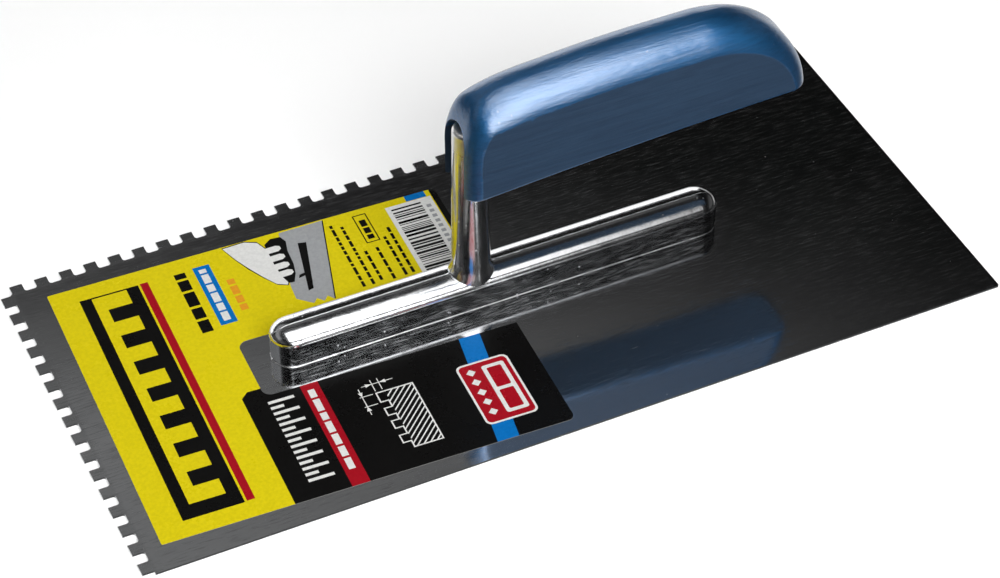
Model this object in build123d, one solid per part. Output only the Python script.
from build123d import *
import os
from math import cos, pi, sin

# Notched trowel. +X runs along the blade towards its plain short end, +Y towards its toothed
# long side, +Z up. The origin is the middle of the blade's underside. Sizes are millimetres.

# Blade: stainless sheet with square notches along one long side and one short side
BLADE_LENGTH = 280.0
BLADE_WIDTH = 130.0
BLADE_THICKNESS = 0.7
NOTCH_PITCH = 8.0
SHORT_SIDE_PITCH = 8.05
NOTCH_WIDTH = 4.0
NOTCH_DEPTH = 3.6
NOTCH_CORNER_RADIUS = 0.9
CORNER_LAND = 1.2
CORNER_RADIUS = 0.6

# Label: a U-shaped film sticker round the left half of the spine, stuck on slightly askew
LABEL_LENGTH = 128.2
LABEL_WIDTH = 111.8
LABEL_THICKNESS = 0.12
LABEL_ANGLE = -2.2
LABEL_LEFT_X = -129.0
LABEL_MIDDLE_Y = 0.1
LABEL_CORNER_RADIUS = 2.2
LABEL_SHARP_RADIUS = 0.5
LABEL_SLOT_START = 46.9
LABEL_SLOT_WIDTH = 24.8
LABEL_SLOT_OFFSET = 1.0
LABEL_SLOT_RADIUS = 3.0

# Spine casting: the foot bar, the post that rises from it and the tang inside the handle
SPINE_Y = 1.2
FOOT_LENGTH = 149.8
FOOT_MIDDLE_X = 0.4
FOOT_HALF_WIDTH = 6.7
FOOT_SIDE_HEIGHT = 8.0
FOOT_CROWN_HEIGHT = 3.6
POST_X = -8.4
POST_TOP_Z = 67.6
POST_TOP_RADIUS = 5.1
POST_TOP_ROUNDING = 1.2
POST_WAIST_RADIUS = 6.0
POST_WAIST_Z = 17.7
POST_SHOULDER_LENGTH = 7.0
POST_SHOULDER_WIDTH = 6.2
POST_SHOULDER_Z = 12.7
POST_BASE_LENGTH = 9.0
POST_BASE_WIDTH = 6.6
POST_ROOT_Z = 4.7
TANG_Z = 60.6
TANG_RADIUS = 4.2
TANG_END_X = 78.0

# Rivets: flush studs that hold the blade to the foot bar
RIVET_COUNT = 8
RIVET_SPACING = 19.0
RIVET_RADIUS = 2.0
RIVET_HEAD_RADIUS = 3.2
RIVET_LENGTH = 6.0

# Handle: a bowed wooden grip with a half-round back and a recess for the post in its front end
HANDLE_FRONT_X = -13.6
HANDLE_REAR_X = 101.0
HANDLE_HALF_WIDTH = 10.3
HANDLE_CROWN_RADIUS = 10.2
HANDLE_END_RADIUS = 5.5
HANDLE_TOP_Z = 83.9
HANDLE_SHOULDER_Z = 60.5
HANDLE_BACK_POINTS = [(-12.2, 69.0), (-8.2, 76.2), (0.5, 80.4), (17, 82.4), (34, 83.5), (50, 83.9)]
HANDLE_REAR_LENGTH = 36.0
HANDLE_REAR_HEIGHT = 33.0
HANDLE_BLANK_Z = 44.0
HANDLE_FRONT_BOTTOM_Z = 46.0
HANDLE_MIDDLE_BOTTOM_Z = 49.8
HANDLE_REAR_BOTTOM_Z = 51.7
HANDLE_EDGE_ROUNDING = 1.2
HANDLE_STATIONS = 61
HANDLE_ARCH_POINTS = 33
RECESS_RADIUS = 6.7
RECESS_CENTRE_Z = 63.6
TANG_CLEARANCE = 0.1
TANG_END_GAP = 1.0

# Rear fixing: a pan-head screw and a washer in a counterbore, driven into the end of the tang
SCREW_RADIUS = 2.0
SCREW_HEAD_RADIUS = 4.2
SCREW_HEAD_HEIGHT = 2.8
SCREW_THREAD_LENGTH = 16.0
SCREW_SLOT_WIDTH = 1.2
SCREW_SLOT_DEPTH = 1.3
WASHER_RADIUS = 5.4
WASHER_THICKNESS = 1.0
WASHER_HOLE_RADIUS = 2.15
COUNTERBORE_RADIUS = 5.8
COUNTERBORE_SEAT_X = 92.5

BLADE_TOP = BLADE_THICKNESS
FOOT_TOP = BLADE_TOP + FOOT_SIDE_HEIGHT
THROUGH = 1.0


def notch(x, y, along_x):
    """One square notch of the blade's edge, with rounded root corners."""
    reach = 2 * NOTCH_DEPTH
    size = (NOTCH_WIDTH, reach) if along_x else (reach, NOTCH_WIDTH)
    return Pos(x, y) * RectangleRounded(*size, NOTCH_CORNER_RADIUS)


def rivet_places():
    """The rivets' x positions, in one row along the foot bar."""
    start = -RIVET_SPACING * (RIVET_COUNT - 1) / 2
    return [start + RIVET_SPACING * index for index in range(RIVET_COUNT)]


def rivet(x):
    """One flush countersunk rivet, from the blade's underside up into the foot bar."""
    head = Cone(RIVET_HEAD_RADIUS, RIVET_RADIUS, BLADE_THICKNESS,
                align=(Align.CENTER, Align.CENTER, Align.MIN))
    shank = Cylinder(RIVET_RADIUS, RIVET_LENGTH, align=(Align.CENTER, Align.CENTER, Align.MIN))
    return Pos(x, SPINE_Y, 0) * (head + Pos(0, 0, BLADE_TOP) * shank)


def rod(start_x, end_x, radius):
    """A round bar along X on the tang's axis."""
    length = end_x - start_x
    return Pos(start_x + length / 2, SPINE_Y, TANG_Z) * Rot(0, 90, 0) * Cylinder(radius, length)


def make_blade():
    """The sheet: notches along +Y and -X, and countersunk holes for the rivets."""
    left = -BLADE_LENGTH / 2
    far = BLADE_WIDTH / 2
    outline = RectangleRounded(BLADE_LENGTH, BLADE_WIDTH, CORNER_RADIUS)
    long_side = [notch(left + NOTCH_WIDTH / 2 + NOTCH_PITCH * index, far, True)
                 for index in range(int(BLADE_LENGTH / NOTCH_PITCH))]
    short_side = [notch(left, far - NOTCH_WIDTH / 2 - SHORT_SIDE_PITCH * index, False)
                  for index in range(int(BLADE_WIDTH / SHORT_SIDE_PITCH))]
    land = Pos(left, -far) * Rectangle(2 * NOTCH_DEPTH, 2 * CORNER_LAND)
    corner = Pos(left, far) * Rectangle(2 * NOTCH_DEPTH, 2 * NOTCH_DEPTH)
    sheet = extrude(outline - long_side - short_side - land - corner, amount=BLADE_THICKNESS)
    return sheet - [rivet(x) for x in rivet_places()]


def make_label():
    """The sticker: a rectangle with a round-cornered slot that opens towards +X."""
    film = Pos(LABEL_LENGTH / 2, 0) * Rectangle(LABEL_LENGTH, LABEL_WIDTH)
    right_corners = film.vertices().group_by(Axis.X)[-1]
    film = fillet(right_corners, LABEL_CORNER_RADIUS)
    film = fillet(film.vertices().group_by(Axis.X)[0], LABEL_SHARP_RADIUS)
    slot = Pos(LABEL_SLOT_START + LABEL_LENGTH / 2, LABEL_SLOT_OFFSET) * RectangleRounded(
        LABEL_LENGTH, LABEL_SLOT_WIDTH, LABEL_SLOT_RADIUS)
    place = Pos(LABEL_LEFT_X, LABEL_MIDDLE_Y, BLADE_TOP) * Rot(0, 0, LABEL_ANGLE)
    return place * extrude(film - slot, amount=LABEL_THICKNESS)


def foot_section():
    """Half of the foot bar's section: an upright side and an elliptical crown."""
    side = Polyline((0, FOOT_TOP), (0, BLADE_TOP), (FOOT_HALF_WIDTH, BLADE_TOP),
                    (FOOT_HALF_WIDTH, FOOT_TOP))
    crown = EllipticalCenterArc((0, FOOT_TOP), FOOT_HALF_WIDTH, FOOT_CROWN_HEIGHT, arc_size=90)
    axis = Line((0, FOOT_TOP + FOOT_CROWN_HEIGHT), (0, FOOT_TOP))
    return make_face([side, crown, axis])


def make_foot():
    """The foot bar: two straight halves between two turned ends."""
    run = FOOT_LENGTH / 2 - FOOT_HALF_WIDTH
    half = Plane.YZ * foot_section()
    straight = extrude(half, amount=run, both=True)
    straight += mirror(straight, about=Plane.XZ)
    end = revolve(Plane.XZ * foot_section(), Axis.Z)
    foot = straight + Pos(run, 0, 0) * end + Pos(-run, 0, 0) * end
    return Pos(FOOT_MIDDLE_X, SPINE_Y, 0) * foot


def make_post():
    """The post: an oval flare on the foot that narrows to a slightly tapered round column."""
    flare = loft([
        Pos(0, 0, POST_ROOT_Z) * Ellipse(POST_BASE_LENGTH, POST_BASE_WIDTH),
        Pos(0, 0, FOOT_TOP) * Ellipse(POST_BASE_LENGTH, POST_BASE_WIDTH),
        Pos(0, 0, POST_SHOULDER_Z) * Ellipse(POST_SHOULDER_LENGTH, POST_SHOULDER_WIDTH),
        Pos(0, 0, POST_WAIST_Z) * Circle(POST_WAIST_RADIUS),
    ])
    column = Pos(0, 0, POST_WAIST_Z) * Cone(
        POST_WAIST_RADIUS, POST_TOP_RADIUS, POST_TOP_Z - POST_WAIST_Z,
        align=(Align.CENTER, Align.CENTER, Align.MIN))
    column = fillet(column.edges().sort_by(Axis.Z)[-1], POST_TOP_ROUNDING)
    return Pos(POST_X, SPINE_Y, 0) * (flare + column)


def make_casting():
    """Foot bar, post and tang as one casting, with its rivet and screw holes."""
    body = make_foot() + make_post() + rod(POST_X, TANG_END_X, TANG_RADIUS)
    screw_hole = rod(TANG_END_X - SCREW_THREAD_LENGTH, TANG_END_X + THROUGH, SCREW_RADIUS)
    return body - screw_hole - [rivet(x) for x in rivet_places()]


def handle_outline():
    """The grip's side outline, seen from -Y: front end, bowed back and rounded rear end."""
    rear_x = HANDLE_REAR_X - HANDLE_REAR_LENGTH
    rear_z = HANDLE_TOP_Z - HANDLE_REAR_HEIGHT
    front = Line((HANDLE_FRONT_X, HANDLE_BLANK_Z), (HANDLE_FRONT_X, HANDLE_SHOULDER_Z))
    back = Spline(front @ 1, *HANDLE_BACK_POINTS, (rear_x, HANDLE_TOP_Z),
                  tangents=[(0, 1), (1, 0)])
    rear = EllipticalCenterArc((rear_x, rear_z), HANDLE_REAR_LENGTH, HANDLE_REAR_HEIGHT,
                               start_angle=90, arc_size=-90)
    return Wire([front, back, rear, Line(rear @ 1, (HANDLE_REAR_X, HANDLE_BLANK_Z))])


def arch(place, slope):
    """Points of one arch across the grip, from its near flat side over the back to the far one.

    The rounding is widest along the back and tighter at the two upright ends.
    """
    widening = HANDLE_CROWN_RADIUS - HANDLE_END_RADIUS
    radius = HANDLE_END_RADIUS + widening * slope.X ** 2
    flat = HANDLE_HALF_WIDTH - radius
    half_length = flat + radius * pi / 2
    points = []
    for index in range(HANDLE_ARCH_POINTS):
        travel = (2 * index / (HANDLE_ARCH_POINTS - 1) - 1) * half_length
        turn = max(abs(travel) - flat, 0) / radius
        side = min(abs(travel), flat) + radius * sin(turn)
        drop = radius * (1 - cos(turn))
        points.append(Vector(place.X + slope.Y * drop, SPINE_Y + (side if travel > 0 else -side),
                             place.Y - slope.X * drop))
    return points


def make_handle_blank():
    """The grip before its recess, bore and underside are cut: a curved back on flat sides."""
    outline = handle_outline()
    stations = [index / (HANDLE_STATIONS - 1) for index in range(HANDLE_STATIONS)]
    arches = [Wire([Spline(arch(outline @ station, outline % station))]) for station in stations]
    back = Shell.make_loft(arches).face()
    shortest_first = back.edges().sort_by(SortBy.LENGTH)
    ends = shortest_first[:2]
    sides = shortest_first[2:]
    walls = [Face(Wire([edge, Line(edge @ 1, edge @ 0)])) for edge in sides]
    feet = [Line(edge @ 0, edge @ 1) for edge in sides]
    return Solid(Shell([back, *walls, Face(Wire([*ends, *feet]))]))


def handle_underside():
    """The block below the grip's bowed underside."""
    front = HANDLE_FRONT_X - THROUGH
    rear = HANDLE_REAR_X + THROUGH
    bow = ThreePointArc((front, HANDLE_FRONT_BOTTOM_Z),
                        ((front + rear) / 2, HANDLE_MIDDLE_BOTTOM_Z),
                        (rear, HANDLE_REAR_BOTTOM_Z))
    below = Polyline(bow @ 1, (rear, 0), (front, 0), bow @ 0)
    return Pos(0, SPINE_Y, 0) * extrude(Plane.XZ * make_face([bow, below]),
                                        amount=2 * HANDLE_HALF_WIDTH, both=True)


def post_recess():
    """The arched recess in the grip's front end, open to the front and below."""
    front = HANDLE_FRONT_X - THROUGH
    depth = POST_X - front
    slot = Pos(front + depth / 2, SPINE_Y, RECESS_CENTRE_Z / 2) * Box(
        depth, 2 * RECESS_RADIUS, RECESS_CENTRE_Z)
    roof = Pos(front + depth / 2, SPINE_Y, RECESS_CENTRE_Z) * Rot(0, 90, 0) * Cylinder(
        RECESS_RADIUS, depth)
    well = Pos(POST_X, SPINE_Y, RECESS_CENTRE_Z / 2) * Cylinder(RECESS_RADIUS, RECESS_CENTRE_Z)
    dome = Pos(POST_X, SPINE_Y, RECESS_CENTRE_Z) * Sphere(RECESS_RADIUS)
    return slot + roof + well + dome


def make_handle():
    """The wooden grip."""
    grip = make_handle_blank() - handle_underside()
    rim = [edge for edge in grip.edges() if (edge @ 0.5).Z < HANDLE_REAR_BOTTOM_Z + THROUGH]
    grip = fillet(rim, HANDLE_EDGE_ROUNDING) - post_recess()
    grip -= rod(POST_X, TANG_END_X + TANG_END_GAP, TANG_RADIUS + TANG_CLEARANCE)
    grip -= rod(POST_X, HANDLE_REAR_X, WASHER_HOLE_RADIUS)
    return grip - rod(COUNTERBORE_SEAT_X, HANDLE_REAR_X + THROUGH, COUNTERBORE_RADIUS)


def make_washer():
    """The flat washer on the counterbore's seat."""
    face = COUNTERBORE_SEAT_X + WASHER_THICKNESS
    return rod(COUNTERBORE_SEAT_X, face, WASHER_RADIUS) - rod(
        COUNTERBORE_SEAT_X - THROUGH, face + THROUGH, WASHER_HOLE_RADIUS)


def make_screw():
    """The slotted screw that pulls the grip on to the tang."""
    seat = COUNTERBORE_SEAT_X + WASHER_THICKNESS
    head_end = seat + SCREW_HEAD_HEIGHT
    screw = rod(TANG_END_X - SCREW_THREAD_LENGTH, seat, SCREW_RADIUS) + rod(
        seat, head_end, SCREW_HEAD_RADIUS)
    slot = Pos(head_end, SPINE_Y, TANG_Z) * Box(
        2 * SCREW_SLOT_DEPTH, 2 * SCREW_HEAD_RADIUS, SCREW_SLOT_WIDTH)
    return screw - slot


def main():
    """Write one STEP file for each piece."""
    pieces = {
        "blade": make_blade(),
        "label": make_label(),
        "spine_casting": make_casting(),
        "rivets": Compound(children=[rivet(x) for x in rivet_places()]),
        "handle": make_handle(),
        "washer": make_washer(),
        "handle_screw": make_screw(),
    }
    os.makedirs("parts", exist_ok=True)
    for name, piece in pieces.items():
        export_step(piece, f"parts/{name}.step")


main()
